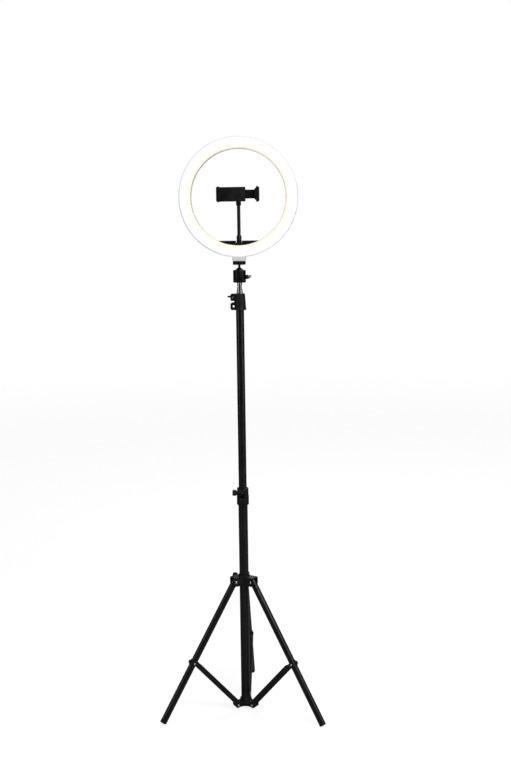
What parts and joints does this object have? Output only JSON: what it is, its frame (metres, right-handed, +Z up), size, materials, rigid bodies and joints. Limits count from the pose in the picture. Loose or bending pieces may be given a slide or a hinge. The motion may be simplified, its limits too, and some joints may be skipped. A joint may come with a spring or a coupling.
{
  "type": "ring light on folding stand",
  "caption": "Ring shaped LED lamp with a telephone clip on a gooseneck, on a ball head and a folding telescopic stand with braced legs.",
  "frame": {"origin": "on the column axis at floor level, midway between the three feet", "axes": "+Z up along the column, the lamp faces -Y, +X to the right of the lamp as it is seen from behind the camera"},
  "size_m": [0.3716, 0.3238, 1.2971],
  "materials": {
    "black_tube": "gloss black powder coat on drawn steel tube",
    "black_plastic": "satin moulded black nylon",
    "white_nylon": "natural nylon",
    "black_channel": "black powder coat on pressed steel",
    "bright_rivet": "bright aluminium rivet",
    "knob_plastic": "glossy moulded black ABS",
    "zinc_steel": "zinc plated",
    "blackened_steel": "black oxide, oiled",
    "chrome_spigot": "bright nickel plated brass",
    "black_anodised": "black anodised, satin",
    "polished_ball": "dark polished",
    "black_rubber": "matt rubber",
    "brass": "turned brass",
    "white_shell": "satin white ABS",
    "lit_diffuser": "milky diffuser, lit from behind, warm white",
    "circuit_board": "white solder mask",
    "led_package": "phosphor",
    "holder_plastic": "satin black ABS",
    "hose": "corrugated black sleeve"
  },
  "bodies": {
    "stand": {"lower_tube": "black_tube", "spreader_hub": "black_plastic", "spreader_pins": "bright_rivet", "mid_collar": "black_plastic", "mid_clamp_nut": "blackened_steel"},
    "leg_hub": {"leg_hub": "black_plastic", "leg_hub_pins": "bright_rivet"},
    "hub_knob": {"leg_hub_knob": "knob_plastic", "leg_hub_screw": "zinc_steel"},
    "middle_section": {"middle_tube": "black_tube", "middle_bush": "white_nylon", "top_collar": "black_plastic", "top_clamp_nut": "blackened_steel"},
    "mid_knob": {"mid_knob": "knob_plastic", "mid_clamp_screw": "zinc_steel"},
    "inner_section": {"inner_tube": "black_tube", "inner_bush": "white_nylon", "spigot": "chrome_spigot", "ball_housing": "black_anodised", "ball_cup": "white_nylon"},
    "top_knob": {"top_knob": "knob_plastic", "top_clamp_screw": "zinc_steel"},
    "ball_lock": {"ball_knob": "knob_plastic", "ball_lock_screw": "zinc_steel"},
    "ball": {"ball_stud": "polished_ball"},
    "ring": {"head_platform": "black_anodised", "platform_pad": "black_rubber", "mount_stud": "zinc_steel", "neck_insert": "brass", "ring_back_shell": "white_shell", "ring_diffuser": "lit_diffuser", "led_board": "circuit_board", "leds": "led_package", "ring_screws": "zinc_steel", "cable_gland": "black_rubber", "holder_platform": "holder_plastic", "holder_ferrule": "holder_plastic", "gooseneck": "hose"},
    "holder_head": {"holder_swivel": "holder_plastic"},
    "clip": {"clip_body": "holder_plastic", "jaw_pad_fixed": "black_rubber", "clip_springs": "zinc_steel", "swivel_screw": "zinc_steel"},
    "clip_jaw": {"clip_jaw": "holder_plastic", "jaw_pad_moving": "black_rubber"},
    "leg_left": {"leg_left": "black_tube", "foot_cap_left": "black_plastic", "leg_clip_left": "black_plastic"},
    "brace_left": {"brace_left": "black_channel", "brace_rivets_left": "bright_rivet"},
    "leg_right": {"leg_right": "black_tube", "foot_cap_right": "black_plastic", "leg_clip_right": "black_plastic"},
    "brace_right": {"brace_right": "black_channel", "brace_rivets_right": "bright_rivet"},
    "leg_rear": {"leg_rear": "black_tube", "foot_cap_rear": "black_plastic", "leg_clip_rear": "black_plastic"},
    "brace_rear": {"brace_rear": "black_channel", "brace_rivets_rear": "bright_rivet"}
  },
  "joints": [
    {"name": "hub_slide", "type": "slide", "parent": "stand", "child": "leg_hub", "axis": [0, 0, 1], "range_m": [0, 0.0702]},
    {"name": "hub_knob_turn", "type": "hinge", "parent": "leg_hub", "child": "hub_knob", "pos_m": [0, 0, 0.3115], "axis": [-0.866, 0.5, 0], "range_deg": [0, 720]},
    {"name": "leg_left_fold", "type": "hinge", "parent": "leg_hub", "child": "leg_left", "pos_m": [-0.02079, -0.012, 0.3035], "axis": [0.5, -0.866, 0], "range_deg": [0, 31.33]},
    {"name": "brace_left_fold", "type": "hinge", "parent": "stand", "child": "brace_left", "pos_m": [-0.02035, -0.01175, 0.0105], "axis": [-0.5, 0.866, 0], "range_deg": [0, 41.73]},
    {"name": "leg_right_fold", "type": "hinge", "parent": "leg_hub", "child": "leg_right", "pos_m": [0.02079, -0.012, 0.3035], "axis": [0.5, 0.866, 0], "range_deg": [0, 31.33]},
    {"name": "brace_right_fold", "type": "hinge", "parent": "stand", "child": "brace_right", "pos_m": [0.02035, -0.01175, 0.0105], "axis": [-0.5, -0.866, 0], "range_deg": [0, 41.73]},
    {"name": "leg_rear_fold", "type": "hinge", "parent": "leg_hub", "child": "leg_rear", "pos_m": [0, 0.024, 0.3035], "axis": [-1, 0, 0], "range_deg": [0, 31.33]},
    {"name": "brace_rear_fold", "type": "hinge", "parent": "stand", "child": "brace_rear", "pos_m": [0, 0.0235, 0.0105], "axis": [1, 0, 0], "range_deg": [0, 41.73]},
    {"name": "middle_slide", "type": "slide", "parent": "stand", "child": "middle_section", "axis": [0, 0, 1], "range_m": [-0.4, 0.02]},
    {"name": "mid_knob_turn", "type": "hinge", "parent": "stand", "child": "mid_knob", "pos_m": [0, -0.015, 0.5112], "axis": [-1, 0, 0], "range_deg": [0, 720]},
    {"name": "inner_slide", "type": "slide", "parent": "middle_section", "child": "inner_section", "axis": [0, 0, 1], "range_m": [0, 0.42]},
    {"name": "top_knob_turn", "type": "hinge", "parent": "middle_section", "child": "top_knob", "pos_m": [-0.015, 0, 0.9494], "axis": [0, 1, 0], "range_deg": [0, 720]},
    {"name": "ball_lock_turn", "type": "hinge", "parent": "inner_section", "child": "ball_lock", "pos_m": [0, 0, 0.994], "axis": [0.9588, -0.284, 0], "range_deg": [0, 720]},
    {"name": "ring_tilt", "type": "hinge", "parent": "inner_section", "child": "ball", "pos_m": [0, 0, 1.0051], "axis": [1, 0, 0], "range_deg": [-40, 40]},
    {"name": "ring_turn", "type": "hinge", "parent": "ball", "child": "ring", "pos_m": [0, 0, 1.0207], "axis": [0, 0, 1], "continuous": true},
    {"name": "gooseneck_bend", "type": "hinge", "parent": "ring", "child": "holder_head", "pos_m": [0, 0.005, 1.1], "axis": [1, 0, 0], "range_deg": [-30, 30], "deforming": ["gooseneck"]},
    {"name": "clip_turn", "type": "hinge", "parent": "holder_head", "child": "clip", "pos_m": [0, 0.005, 1.17335], "axis": [0, -1, 0], "range_deg": [-90, 90]},
    {"name": "jaw_slide", "type": "slide", "parent": "clip", "child": "clip_jaw", "axis": [1, 0, 0], "range_m": [-0.022, 0.0075], "deforming": ["clip_springs"]}
  ],
  "couplings": [
    {"joint": "leg_left_fold", "follows": "hub_slide", "rad_per_m": 7.7893},
    {"joint": "brace_left_fold", "follows": "hub_slide", "rad_per_m": 10.375},
    {"joint": "leg_right_fold", "follows": "hub_slide", "rad_per_m": 7.7893},
    {"joint": "brace_right_fold", "follows": "hub_slide", "rad_per_m": 10.375},
    {"joint": "leg_rear_fold", "follows": "hub_slide", "rad_per_m": 7.7893},
    {"joint": "brace_rear_fold", "follows": "hub_slide", "rad_per_m": 10.375}
  ]
}
